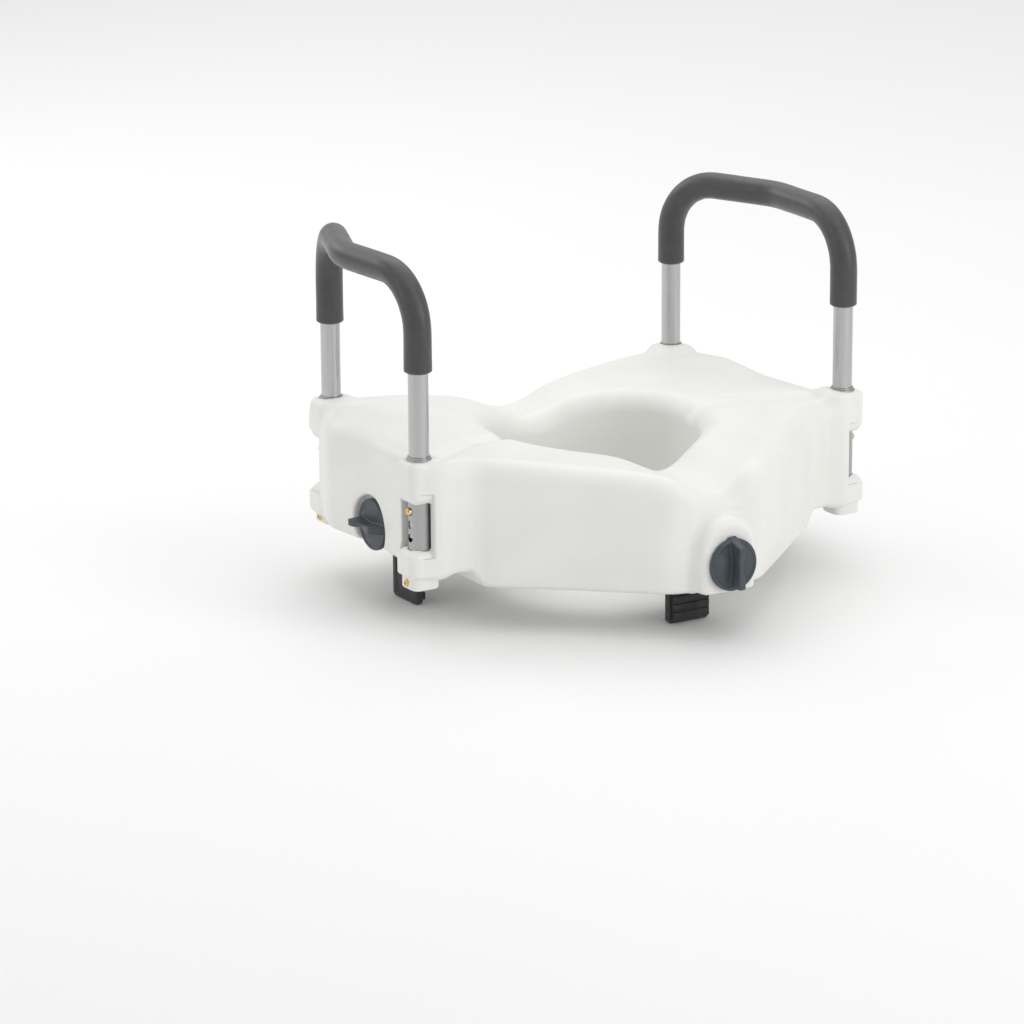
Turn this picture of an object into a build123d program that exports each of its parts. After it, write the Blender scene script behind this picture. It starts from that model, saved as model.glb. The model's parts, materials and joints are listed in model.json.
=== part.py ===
from build123d import *
import os

# Raised toilet seat with two lift-off arms and three screw clamps.
# Millimetres. +X is to the right of a person facing the seat's front, +Y is towards the cistern, +Z is up.
# The origin is the centre of the underside that rests on the bowl's rim.

os.makedirs("parts", exist_ok=True)

# ---- driving dimensions ----
DECK = 127.0            # height of the arm sockets' tops above the bowl's rim
TOP = 125.5             # flat of the seat, a little lower than the sockets' tops
FLANK = 16.0            # underside of the flanks, outside the bowl's rim
RIM_X = 180.0           # half the width of the part that rests on the bowl
RIM_BACK = 104.0
WALL = 3.2              # skin of the hollow body
EDGE_R = 16.0           # rounding of the top's outer edge

FRONT_POST = (239.0, -120.0)
BACK_POST = (197.0, 120.0)

TUBE_R = 19.05 / 2      # arm tube
TUBE_WALL = 1.2
BAR_Z = DECK + 171.5    # centre line of the arm's bar
BAR_KINK = (245.5, 4.5)  # the bar's widest point in plan
CORNER_BEND = 52.0
KINK_BEND = 60.0
TUBE_END = 53.0         # lower end of the arm tube, set in the top hole
GRIP_R = 13.4
# Lower ends of the two foam grips, front then back: they are pushed on by hand, so they differ.
GRIP_LOW = {
    "left": (DECK + 83.0, DECK + 76.5),
    "right": (DECK + 84.5, DECK + 86.5),
}
GRIP_GAP = 0.05

SLEEVE_R = 10.8
SLEEVE_BORE = TUBE_R + 0.1
SLEEVE_LOW = 24.0
RIM_R = 12.1            # flared rim on top of the sleeve
RIM_T = 1.8
HOLE_R = 4.0
HOLE_TOP = DECK - 48.5
HOLE_PITCH = 12.7
HOLES = 3

HOUSING = 34.0          # square corner housing
HOUSING_R = 9.0
WINDOW_LOW = 43.0
WINDOW_HIGH = 86.0
WINDOW_BEVEL = 11.0
SEAM = 17.5             # joint between corner and foot cap
SPIGOT_R = 11.5
SPIGOT_LOW = 7.0
CAP = 29.0              # foot cap, square with rounded corners
CAP_R = 8.0
CAP_LOW = 4.0
SCREW_Z = 10.5
SCREW_HEAD_R = 4.0
SCREW_HEAD_T = 2.2
SCREW_R = 1.9
SCREW_L = 9.0
SLOT_L = 4.4            # cross slot in the screw's head
SLOT_W = 0.9
SLOT_DEEP = 1.2

BUTTON_R = 3.5
BUTTON_TIP = 14.2       # from the post's axis to the top of the dome
BUTTON_BASE = 6.4
CLIP_W = 6.0
CLIP_T = 0.6


RIM_PADS = [(-118, -112), (118, -112), (-122, 62), (122, 62)]
RIM_PAD_L = 34.0
RIM_PAD_W = 12.0
RIM_PAD_T = 1.6

SIDE_Y = -10.0          # side screws
SIDE_Z = 36.0
FRONT_Z = 29.0          # front screw
KNOB_R = 25.0
KNOB_T = 6.0
KNOB_GAP = 0.5
ROD_DEEP = 5.0          # rod inside the knob
FIN_L = 44.0
FIN_H = 14.0
FIN_T = 7.4
FIN_WAIST = 1.6
RECESS_R = 29.0
RECESS_X = 222.0        # floor of the side knobs' recess
BOSS_R = 29.5           # arch of the front knob's boss, round above BOSS_Z
BOSS_Z = 43.0
BOSS_Y = -282.0         # face of the boss
BOSS_EDGE = 5.0
SCREW_WALL = 6.0        # wall that carries a screw's bush
ROD_R = 4.0
NUT_R = ROD_R + 0.06
BUSH_R = 8.0
BUSH_BORE = ROD_R + 0.08

RING_R = 7.5
RING_T = 1.5
RING_GAP = 0.4
NUT_FLATS = 13.0
NUT_T = 6.5

POCKET_W = 54.0
POCKET_ROOF = 20.0      # above the screw's axis
PLATE_W = 46.0
PLATE_T = 7.0
PLATE_LOW = -44.5
HEAD_TOP = 15.0         # the bracket's head, above the screw
HEAD_L = 12.0           # nut housing, along the screw
HEAD_W = 50.0
PAD_T = 4.0
PAD_W = 40.0
PAD_H = 32.0
PAD_GROOVES = 3
SIDE_PLATE = 192.5      # outer face of the side clamp plates
FRONT_PLATE = -212.0    # front face of the front clamp plate

# Right half of the seat's outline, from the back round to the front: x, y, corner radius.
OUTLINE = [
    (207, 136, 12),
    (236, 62, 45),
    (229, -15, 140),
    (238, -100, 30),
    (236, -137, 10),
    (190, -141, 34),
    (47, -266, 46),
]

# The dip that runs from front to back over the opening: x, depth below the sockets' tops.
BACK_DIP = [(0, 35), (20, 31.5), (40, 23), (60, 16.5), (80, 12.5), (110, 7.5), (150, 1), (270, -14)]
FRONT_DIP = [(0, 37), (16, 33), (30, 23), (44, 16), (62, 12.5), (92, 10.5), (150, 8.5), (270, 6)]
DIP_BACK_Y = 160.0
DIP_FRONT_Y = -300.0

OPENING_Y = -44.0
OPENING_TOP = (103.0, 108.0)
OPENING_LOW = (92.0, 98.0)

CORNERS = {
    "front_left": (-1, FRONT_POST),
    "front_right": (1, FRONT_POST),
    "back_left": (-1, BACK_POST),
    "back_right": (1, BACK_POST),
}


def keep(part, node):
    part.label = node
    export_step(part, f"parts/{node}.step")


def plan(inset):
    """The seat's outline in plan, drawn in by inset."""
    right = [(x, y) for x, y, _ in OUTLINE]
    left = [(-x, y) for x, y in reversed(right)]
    with BuildSketch() as sketch:
        with BuildLine():
            Polyline(*right, *left, close=True)
        make_face()
        for x, y, radius in OUTLINE:
            for px in (x, -x):
                fillet(sketch.vertices().sort_by_distance((px, y, 0))[0], radius)
        if inset:
            offset(amount=-inset)
    return sketch.sketch


def dip_profile(y, points, drop):
    """One end of the dip: the curve of its floor, closed above the seat."""
    right = [(x, DECK - depth - drop) for x, depth in points]
    left = [(-x, z) for x, z in reversed(right[1:])]
    roof = DECK + 20
    with BuildSketch(Plane.XZ.offset(-y)) as sketch:
        with BuildLine():
            floor = Spline(*left, *right)
            Polyline(floor @ 1, (right[-1][0], roof), (left[0][0], roof), floor @ 0)
        make_face()
    return sketch.sketch


def dip(drop):
    """Everything above the dip's floor, lowered by drop."""
    with BuildPart() as cutter:
        add(dip_profile(DIP_BACK_Y, BACK_DIP, drop))
        add(dip_profile(DIP_FRONT_Y, FRONT_DIP, drop))
        loft()
    return cutter.part


def opening(grow):
    """The funnel through the seat, larger by grow all round."""
    with BuildPart() as funnel:
        for z, (a, b) in ((-5, OPENING_LOW), (DECK + 5, OPENING_TOP)):
            with BuildSketch(Plane((0, OPENING_Y, z))):
                Ellipse(a + grow, b + grow)
        loft()
    return funnel.part


def box_between(low, high, mode=Mode.ADD):
    """A box from its lowest to its highest corner."""
    centre = tuple((a + b) / 2 for a, b in zip(low, high))
    size = [b - a for a, b in zip(low, high)]
    with Locations(centre):
        return Box(*size, mode=mode)


def pockets(grow):
    """The three pockets that the clamp brackets slide in, open below."""
    half = POCKET_W / 2 + grow
    side_out = RECESS_X - SCREW_WALL + grow
    side_in = 154.0 - grow
    front_out = BOSS_Y + SCREW_WALL - grow
    front_in = -168.0 + grow
    with BuildPart() as space:
        for sign in (-1, 1):
            xs = sorted((sign * side_in, sign * side_out))
            roof = SIDE_Z + POCKET_ROOF + grow
            box_between((xs[0], SIDE_Y - half, -5), (xs[1], SIDE_Y + half, roof))
        box_between((-half, front_out, -5), (half, front_in, FRONT_Z + POCKET_ROOF + grow))
    return space.part


def hollow():
    """The closed cavity inside the seat's skin."""
    with BuildPart() as cavity:
        with BuildSketch(Plane.XY.offset(FLANK + WALL)):
            add(plan(WALL))
        extrude(amount=TOP - FLANK - 2 * WALL)
        fillet(cavity.faces().sort_by(Axis.Z)[-1].edges(), EDGE_R - WALL)
        with BuildSketch(Plane.XY.offset(WALL)):
            add(plan(WALL))
            with Locations((0, RIM_BACK - WALL)):
                Rectangle(2 * (RIM_X - WALL), 500, align=(Align.CENTER, Align.MAX),
                          mode=Mode.INTERSECT)
        extrude(amount=FLANK)
        add(dip(WALL), mode=Mode.SUBTRACT)
        add(opening(WALL), mode=Mode.SUBTRACT)
        add(pockets(WALL), mode=Mode.SUBTRACT)
        for sign, (x, y) in CORNERS.values():
            with Locations((sign * x, y, DECK / 2)):
                Box(HOUSING + 8, HOUSING + 8, DECK + 10, mode=Mode.SUBTRACT)
        for sign in (-1, 1):
            with Locations(Plane((sign * (RECESS_X - WALL), SIDE_Y, SIDE_Z), z_dir=(sign, 0, 0))):
                Cylinder(RECESS_R + WALL, 60, align=(Align.CENTER, Align.CENTER, Align.MIN),
                         mode=Mode.SUBTRACT)
    return cavity.part


def corner_block(sign, x, y, low, high):
    """A square block with rounded corners about an arm's post."""
    with BuildSketch(Plane((sign * x, y, low))) as base:
        RectangleRounded(HOUSING, HOUSING, HOUSING_R)
    extrude(base.sketch, amount=high - low)


# ---- the moulded seat ----
with BuildPart() as seat_shell:
    with BuildSketch():
        add(plan(0))
    extrude(amount=TOP)
    fillet(seat_shell.faces().sort_by(Axis.Z)[-1].edges(), EDGE_R)
    add(dip(0), mode=Mode.SUBTRACT)

    # the flanks and the back stand clear of the bowl's rim
    with BuildSketch(Plane.XZ.offset(-200)):
        with BuildLine():
            Polyline(
                (RIM_X, -1), (RIM_X, 0), (RIM_X + FLANK, FLANK), (300, FLANK), (300, -1), close=True
            )
        make_face()
        mirror(about=Plane.YZ)
    extrude(amount=500, mode=Mode.SUBTRACT)
    box_between((-300, RIM_BACK, -1), (300, 200, FLANK), mode=Mode.SUBTRACT)

    # corner housings, each with room for its foot cap, then the spigots and the front boss
    for side, (px, py) in CORNERS.values():
        with Locations((side * px, py, 0)):
            Box(CAP + 0.2, CAP + 0.2, SEAM, align=(Align.CENTER, Align.CENTER, Align.MIN),
                mode=Mode.SUBTRACT)
        corner_block(side, px, py, SEAM, DECK)
        with Locations((side * px, py, SPIGOT_LOW)):
            Cylinder(SPIGOT_R, SEAM - SPIGOT_LOW, align=(Align.CENTER, Align.CENTER, Align.MIN))
    with BuildSketch(Plane((0, BOSS_Y, BOSS_Z), x_dir=(1, 0, 0), z_dir=(0, 1, 0))):
        Circle(BOSS_R)
        Rectangle(2 * BOSS_R, BOSS_Z, align=(Align.CENTER, Align.MIN))
    extrude(amount=40)
    arch = seat_shell.faces().sort_by(Axis.Y)[0].edges().sort_by(Axis.Z)[1:]
    fillet(arch, BOSS_EDGE)
    box_between((-60, -300, -20), (60, -230, 0), mode=Mode.SUBTRACT)

    add(hollow(), mode=Mode.SUBTRACT)
    add(opening(0), mode=Mode.SUBTRACT)
    add(pockets(0), mode=Mode.SUBTRACT)

    for side, (px, py) in CORNERS.values():
        # the window round the sleeve, open outwards, with a bevelled top
        reach = 40.0
        edge = px - 3.0
        deep = py + HOUSING / 2 - 1 if py < 0 else py - HOUSING / 2 + 1
        wide = -1 if py < 0 else 1
        with BuildSketch(Plane.XZ.offset(-deep)):
            with BuildLine():
                Polyline(
                    (side * edge, WINDOW_LOW),
                    (side * edge, WINDOW_HIGH),
                    (side * (px + 6), WINDOW_HIGH),
                    (side * (px + 6 + 1.2 * WINDOW_BEVEL), WINDOW_HIGH + WINDOW_BEVEL),
                    (side * (px + reach), WINDOW_HIGH + WINDOW_BEVEL),
                    (side * (px + reach), WINDOW_LOW),
                    close=True,
                )
            make_face()
        extrude(amount=-wide * reach, mode=Mode.SUBTRACT)
        with Locations((side * px, py, WINDOW_LOW)):
            Cylinder(SLEEVE_R + 1.6, WINDOW_HIGH - WINDOW_LOW,
                     align=(Align.CENTER, Align.CENTER, Align.MIN), mode=Mode.SUBTRACT)
        # the sleeve's bore and the pilot hole of the foot cap's screw
        with Locations((side * px, py, SLEEVE_LOW)):
            Cylinder(SLEEVE_R, DECK, align=(Align.CENTER, Align.CENTER, Align.MIN),
                     mode=Mode.SUBTRACT)
        with Locations(Plane((side * px, py, SCREW_Z), z_dir=(side, 0, 0))):
            Cylinder(SCREW_R, 40, align=(Align.CENTER, Align.CENTER, Align.MIN),
                     mode=Mode.SUBTRACT)

    # recesses of the side knobs and the bores of the three bushes
    for side in (-1, 1):
        with Locations(Plane((side * RECESS_X, SIDE_Y, SIDE_Z), z_dir=(side, 0, 0))):
            Cylinder(RECESS_R, 40, align=(Align.CENTER, Align.CENTER, Align.MIN),
                     mode=Mode.SUBTRACT)
        with Locations(Plane((side * (RECESS_X - 10), SIDE_Y, SIDE_Z), z_dir=(side, 0, 0))):
            Cylinder(BUSH_R, 20, align=(Align.CENTER, Align.CENTER, Align.MIN),
                     mode=Mode.SUBTRACT)
    with Locations(Plane((0, BOSS_Y - 5, FRONT_Z), z_dir=(0, 1, 0))):
        Cylinder(BUSH_R, 15, align=(Align.CENTER, Align.CENTER, Align.MIN), mode=Mode.SUBTRACT)

    # shallow seats for the pads that rest on the bowl's rim
    with BuildSketch():
        with Locations(*RIM_PADS):
            SlotOverall(RIM_PAD_L, RIM_PAD_W)
    extrude(amount=RIM_PAD_T, mode=Mode.SUBTRACT)

keep(seat_shell.part, "seat_shell")

with BuildPart() as rim_pads:
    with BuildSketch():
        with Locations(*RIM_PADS):
            SlotOverall(RIM_PAD_L, RIM_PAD_W)
    extrude(amount=RIM_PAD_T)
keep(rim_pads.part, "rim_pads")


# ---- corners: sleeves, foot caps and their screws ----
def sleeve(side, px, py):
    """The lining tube of a corner, with a flared rim and a row of holes that face outwards."""
    with BuildPart() as tube:
        with BuildSketch(Plane((side * px, py, SLEEVE_LOW))):
            Circle(SLEEVE_R)
        extrude(amount=DECK - SLEEVE_LOW)
        with BuildSketch(Plane((side * px, py, DECK))):
            Circle(RIM_R)
        extrude(amount=RIM_T)
        fillet(tube.faces().sort_by(Axis.Z)[-1].edges(), 0.6)
        with BuildSketch(Plane((side * px, py, DECK + RIM_T))):
            Circle(SLEEVE_R)
        extrude(amount=RIM_T)
        with BuildSketch(Plane((side * px, py, SLEEVE_LOW))):
            Circle(SLEEVE_BORE)
        extrude(amount=DECK, mode=Mode.SUBTRACT)
        for row in range(HOLES):
            hole = Plane((side * px, py, HOLE_TOP - row * HOLE_PITCH), z_dir=(side, 0, 0))
            with BuildSketch(hole):
                Circle(HOLE_R)
            extrude(amount=SLEEVE_R + 5, mode=Mode.SUBTRACT)
    return tube.part


def foot_cap(side, px, py):
    """The cap that closes a corner from below."""
    with BuildPart() as cap:
        with BuildSketch(Plane((side * px, py, CAP_LOW))):
            RectangleRounded(CAP, CAP, CAP_R)
        extrude(amount=SEAM - CAP_LOW)
        fillet(cap.faces().sort_by(Axis.Z)[0].edges(), 2.5)
        with BuildSketch(Plane((side * px, py, SPIGOT_LOW))):
            Circle(SPIGOT_R)
        extrude(amount=SEAM, mode=Mode.SUBTRACT)
        with BuildSketch(Plane((side * px, py, SCREW_Z), z_dir=(side, 0, 0))):
            Circle(SCREW_R)
        extrude(amount=CAP, mode=Mode.SUBTRACT)
    return cap.part


for corner, (side, (px, py)) in CORNERS.items():
    keep(sleeve(side, px, py), f"sleeve_{corner}")
    keep(foot_cap(side, px, py), f"foot_cap_{corner}")

with BuildPart() as foot_screws:
    for side, (px, py) in CORNERS.values():
        face = side * (px + CAP / 2)
        tip = face - side * SCREW_L
        crown = face + side * SCREW_HEAD_T
        with BuildSketch(Plane.XZ.offset(-py)):
            with BuildLine():
                Polyline(
                    (crown, SCREW_Z),
                    (tip, SCREW_Z),
                    (tip, SCREW_Z + SCREW_R),
                    (face, SCREW_Z + SCREW_R),
                    (face, SCREW_Z + SCREW_HEAD_R),
                )
                ThreePointArc(
                    (face, SCREW_Z + SCREW_HEAD_R),
                    (face + side * 0.75 * SCREW_HEAD_T, SCREW_Z + 0.7 * SCREW_HEAD_R),
                    (crown, SCREW_Z),
                )
            make_face()
        revolve(axis=Axis((face, py, SCREW_Z), (1, 0, 0)))
        with Locations((crown, py, SCREW_Z)):
            Box(2 * SLOT_DEEP, SLOT_L, SLOT_W, mode=Mode.SUBTRACT)
            Box(2 * SLOT_DEEP, SLOT_W, SLOT_L, mode=Mode.SUBTRACT)
keep(foot_screws.part, "foot_screws")


# ---- arms ----
def arm_path(side, front_low=TUBE_END, back_low=TUBE_END):
    """The centre line of an arm, from its back post's foot to its front post's foot."""
    (bx, by), (fx, fy), (kx, ky) = BACK_POST, FRONT_POST, BAR_KINK
    points = [
        (side * bx, by, back_low),
        (side * bx, by, BAR_Z),
        (side * kx, ky, BAR_Z),
        (side * fx, fy, BAR_Z),
        (side * fx, fy, front_low),
    ]
    return FilletPolyline(*points, radius=(CORNER_BEND, KINK_BEND, CORNER_BEND))


def arm_tube(side):
    with BuildPart() as tube:
        with BuildLine() as line:
            arm_path(side)
        path = line.wires()[0]
        with BuildSketch(Plane(path @ 0, z_dir=path % 0)):
            Circle(TUBE_R)
            Circle(TUBE_R - TUBE_WALL, mode=Mode.SUBTRACT)
        sweep(path=path)
        for px, py in (FRONT_POST, BACK_POST):
            with BuildSketch(Plane((side * px, py, HOLE_TOP), z_dir=(side, 0, 0))):
                Circle(BUTTON_R + 0.2)
            extrude(amount=TUBE_R + 5, mode=Mode.SUBTRACT)
    return tube.part


def grip(side, front_low, back_low):
    """The foam sleeve over the bar and both bends."""
    with BuildPart() as foam:
        with BuildLine() as line:
            arm_path(side, front_low, back_low)
        path = line.wires()[0]
        with BuildSketch(Plane(path @ 0, z_dir=path % 0)):
            Circle(GRIP_R)
            Circle(TUBE_R + GRIP_GAP, mode=Mode.SUBTRACT)
        sweep(path=path)
        ends = foam.faces().filter_by(Axis.Z).edges()
        fillet(ends.filter_by(lambda e: e.radius > TUBE_R + 1), 1.6)
    return foam.part


def button(side, px, py):
    """The snap button: a domed stud on a small base."""
    with BuildPart() as stud:
        with BuildSketch(Plane((side * (px + BUTTON_BASE), py, HOLE_TOP), z_dir=(side, 0, 0))):
            Circle(BUTTON_R)
        extrude(amount=BUTTON_TIP - BUTTON_BASE)
        fillet(stud.faces().sort_by(Axis.X)[-1 if side > 0 else 0].edges(), 2.4)
        with BuildSketch(Plane((side * (px + BUTTON_BASE), py, HOLE_TOP), z_dir=(side, 0, 0))):
            Circle(BUTTON_R + 0.7)
        extrude(amount=0.6)
    return stud.part


def spring_clip(side, px, py):
    """The bent strip inside the tube that pushes a snap button out."""
    leg = BUTTON_BASE - 0.4
    with BuildPart() as strip:
        with BuildSketch(Plane.XZ.offset(-py)):
            with BuildLine() as line:
                FilletPolyline(
                    (side * (px + leg), HOLE_TOP - 6),
                    (side * (px + leg), HOLE_TOP + 8),
                    (side * px, HOLE_TOP + 36),
                    (side * (px - leg - 1), HOLE_TOP + 8),
                    (side * (px - leg - 1), HOLE_TOP - 6),
                    radius=(8, 3, 8),
                )
            trace(line.edges(), line_width=CLIP_T)
        extrude(amount=CLIP_W / 2, both=True)
    return strip.part


for name, side in (("left", -1), ("right", 1)):
    keep(arm_tube(side), f"arm_tube_{name}")
    keep(grip(side, *GRIP_LOW[name]), f"grip_{name}")
for corner, (side, (px, py)) in CORNERS.items():
    keep(button(side, px, py), f"snap_button_{corner}")
    keep(spring_clip(side, px, py), f"spring_clip_{corner}")


# ---- screw clamps ----
# Each screw's plane lies on its wall's outer face and looks outwards. ROD_IN is how far the rod
# runs inwards from there. Each clamp's plane lies on its plate's back and looks the way it grips.
SCREWS = {
    "left": Plane((-RECESS_X, SIDE_Y, SIDE_Z), x_dir=(0, 1, 0), z_dir=(-1, 0, 0)),
    "right": Plane((RECESS_X, SIDE_Y, SIDE_Z), x_dir=(0, 1, 0), z_dir=(1, 0, 0)),
    "front": Plane((0, BOSS_Y, FRONT_Z), x_dir=(0, 0, 1), z_dir=(0, -1, 0)),
}
ROD_IN = {"left": 60.0, "right": 60.0, "front": 106.0}
CLAMPS = {
    "left": Plane((-SIDE_PLATE, SIDE_Y, SIDE_Z), x_dir=(0, 1, 0), z_dir=(1, 0, 0)),
    "right": Plane((SIDE_PLATE, SIDE_Y, SIDE_Z), x_dir=(0, -1, 0), z_dir=(-1, 0, 0)),
    "front": Plane((0, FRONT_PLATE + PLATE_T, FRONT_Z), x_dir=(1, 0, 0), z_dir=(0, -1, 0)),
}


def knob(screw):
    """A round knob with a waisted fin across it, bored for its rod."""
    with BuildPart() as body:
        with BuildSketch(screw.offset(KNOB_GAP)):
            Circle(KNOB_R)
        extrude(amount=KNOB_T)
        fillet(body.edges(), 1.6)
        with BuildSketch(screw.offset(KNOB_GAP + KNOB_T - 2)) as fin:
            half, thick = FIN_L / 2, FIN_T / 2
            with BuildLine():
                top = ThreePointArc((-half, thick), (0, thick - FIN_WAIST), (half, thick))
                low = ThreePointArc((half, -thick), (0, FIN_WAIST - thick), (-half, -thick))
                Line(top @ 1, low @ 0)
                Line(low @ 1, top @ 0)
            make_face()
            fillet(fin.vertices(), 2.0)
        extrude(amount=FIN_H + 2)
        with BuildSketch(screw.offset(KNOB_GAP)):
            Circle(ROD_R)
        extrude(amount=ROD_DEEP, mode=Mode.SUBTRACT)
    return body.part


def rod(screw, length):
    with BuildPart() as bar:
        with BuildSketch(screw.offset(-length)):
            Circle(ROD_R)
        extrude(amount=length + KNOB_GAP + ROD_DEEP)
        chamfer(bar.faces().filter_by(GeomType.PLANE).edges(), 0.6)
    return bar.part


def bush(screw):
    with BuildPart() as liner:
        with BuildSketch(screw.offset(-SCREW_WALL)):
            Circle(BUSH_R)
            Circle(BUSH_BORE, mode=Mode.SUBTRACT)
        extrude(amount=SCREW_WALL)
    return liner.part


def retaining_ring(screw):
    """The open ring that sits on the rod behind the wall."""
    with BuildPart() as ring:
        with BuildSketch(screw.offset(-SCREW_WALL - RING_GAP - RING_T)):
            Circle(RING_R)
            Circle(ROD_R, mode=Mode.SUBTRACT)
            with Locations((RING_R, 0)):
                Rectangle(RING_R * 1.2, 3.0, mode=Mode.SUBTRACT)
        extrude(amount=RING_T)
    return ring.part


def bracket(clamp):
    """A flat plate with a nut housing and two ears that slide along the pocket's sides."""
    low = PLATE_LOW - clamp.origin.Z
    with BuildPart() as plate:
        with BuildSketch(clamp) as face:
            with Locations((0, low)):
                Rectangle(PLATE_W, HEAD_TOP - low, align=(Align.CENTER, Align.MIN))
            fillet(face.vertices().group_by(Axis.Y)[0], 4)
            with Locations((0, HEAD_TOP)):
                Rectangle(HEAD_W, 2 * HEAD_TOP, align=(Align.CENTER, Align.MAX))
        extrude(amount=PLATE_T)
        with BuildSketch(clamp):
            RectangleRounded(2 * HEAD_TOP - 2, 2 * HEAD_TOP - 4, 3)
        extrude(amount=-HEAD_L)
        with BuildSketch(clamp.offset(-HEAD_L - 1)):
            Circle(ROD_R + 0.3)
        extrude(amount=HEAD_L + PLATE_T + 2, mode=Mode.SUBTRACT)
        with BuildSketch(clamp.offset(-HEAD_L)):
            RegularPolygon(NUT_FLATS / 2, 6, major_radius=False)
        extrude(amount=NUT_T, mode=Mode.SUBTRACT)
    return plate.part


def nut(clamp):
    with BuildPart() as hexagon:
        with BuildSketch(clamp.offset(-HEAD_L)):
            RegularPolygon(NUT_FLATS / 2, 6, major_radius=False)
            Circle(NUT_R, mode=Mode.SUBTRACT)
        extrude(amount=NUT_T)
    return hexagon.part


def clamp_pad(clamp):
    """The soft, grooved facing that meets the bowl."""
    low = PLATE_LOW - clamp.origin.Z + 4
    with BuildPart() as pad:
        with BuildSketch(clamp.offset(PLATE_T)):
            with Locations((0, low)):
                Rectangle(PAD_W, PAD_H, align=(Align.CENTER, Align.MIN))
        extrude(amount=PAD_T)
        with BuildSketch(clamp.offset(PLATE_T + PAD_T)):
            for row in range(PAD_GROOVES):
                with Locations((0, low + PAD_H * (row + 1) / (PAD_GROOVES + 1))):
                    Rectangle(PAD_W, 2.0)
        extrude(amount=-1.4, mode=Mode.SUBTRACT)
    return pad.part


for name, screw in SCREWS.items():
    keep(knob(screw), f"knob_{name}")
    keep(rod(screw, ROD_IN[name]), f"threaded_rod_{name}")
    keep(bush(screw), f"rod_bush_{name}")
    keep(retaining_ring(screw), f"retaining_ring_{name}")
for name, clamp in CLAMPS.items():
    keep(bracket(clamp), f"clamp_bracket_{name}")
    keep(nut(clamp), f"clamp_nut_{name}")
    keep(clamp_pad(clamp), f"clamp_pad_{name}")
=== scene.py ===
"""A raised toilet seat with lift-off arms: its looks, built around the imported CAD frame.

Rounded mouldings are distance fields in millimetres: negative inside, joined and cut with round
edges, and turned into a mesh by net(). Everything is scaled to metres when its mesh is made.
The row frame has +X to the right of the seat's front, +Y towards the cistern and +Z up.
"""

import json
import math

import bpy
import numpy as np
from mathutils import Matrix, Vector


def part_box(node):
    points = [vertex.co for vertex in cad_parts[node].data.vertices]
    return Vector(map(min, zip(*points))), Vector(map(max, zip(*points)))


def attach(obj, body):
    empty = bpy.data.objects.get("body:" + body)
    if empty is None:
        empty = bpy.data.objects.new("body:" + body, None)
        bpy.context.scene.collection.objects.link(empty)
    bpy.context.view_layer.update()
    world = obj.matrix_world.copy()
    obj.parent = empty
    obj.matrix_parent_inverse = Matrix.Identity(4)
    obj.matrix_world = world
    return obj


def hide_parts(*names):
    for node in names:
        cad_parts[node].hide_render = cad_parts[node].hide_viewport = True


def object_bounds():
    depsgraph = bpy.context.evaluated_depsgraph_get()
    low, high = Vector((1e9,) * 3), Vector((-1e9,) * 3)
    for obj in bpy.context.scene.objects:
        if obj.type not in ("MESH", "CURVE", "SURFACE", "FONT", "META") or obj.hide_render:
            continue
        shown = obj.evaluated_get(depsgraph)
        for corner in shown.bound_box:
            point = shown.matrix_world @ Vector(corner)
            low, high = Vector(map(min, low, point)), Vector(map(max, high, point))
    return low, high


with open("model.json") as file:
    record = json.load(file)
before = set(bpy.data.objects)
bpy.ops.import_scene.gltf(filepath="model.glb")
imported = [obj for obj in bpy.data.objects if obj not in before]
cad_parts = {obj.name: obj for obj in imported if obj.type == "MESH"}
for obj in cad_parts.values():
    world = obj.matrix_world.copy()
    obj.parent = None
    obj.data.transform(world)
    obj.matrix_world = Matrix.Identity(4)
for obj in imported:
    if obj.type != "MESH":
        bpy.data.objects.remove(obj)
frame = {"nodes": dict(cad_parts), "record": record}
cad_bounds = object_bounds()
nodes = frame["nodes"]

MM = 0.001
SIDES = {"left": -1, "right": 1}
ENDS = ("front", "back")


# ---- places, read from the frame, in millimetres ----
def limits(node):
    low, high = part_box(node)
    return np.array(low) / MM, np.array(high) / MM


def centre(node):
    low, high = limits(node)
    return (low + high) / 2


DECK = limits("seat_shell")[1][2]
POSTS = [tuple(centre(f"sleeve_{end}_right")[:2]) for end in ENDS]
SIDE_KNOB = centre("knob_right")
FRONT_KNOB = centre("knob_front")
BUSH_OUT = limits("rod_bush_right")[1][0]        # floor of the side knobs' recess
BOSS_FACE = limits("rod_bush_front")[0][1]       # face of the front knob's boss
SEAM = limits("foot_cap_front_right")[1][2]      # joint between a corner and its foot cap
BAR_Z = limits("grip_right")[1][2]               # top of the foam


# ---- distance fields ----
def cut_round(a, b, radius):
    """What is in both a and b, with the edge between them rounded."""
    inner = np.minimum(np.maximum(a, b), -radius)
    return inner + np.hypot(np.maximum(a + radius, 0), np.maximum(b + radius, 0))


def join_round(a, b, radius):
    """What is in a or b, with the corner between them filled round."""
    outer = np.maximum(np.minimum(a, b), radius)
    return outer - np.hypot(np.maximum(radius - a, 0), np.maximum(radius - b, 0))


def slab(value, low, high):
    return np.maximum(low - value, value - high)


def rounded_square(u, v, half_u, half_v, radius):
    """Distance to a rectangle with round corners, about its centre."""
    du = np.abs(u) - half_u + radius
    dv = np.abs(v) - half_v + radius
    outside = np.hypot(np.maximum(du, 0), np.maximum(dv, 0))
    return outside + np.minimum(np.maximum(du, dv), 0) - radius


def ease(value, start, end):
    """A smooth step from 0 at start to 1 at end."""
    t = np.clip((value - start) / (end - start), 0, 1)
    return t * t * (3 - 2 * t)


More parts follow.
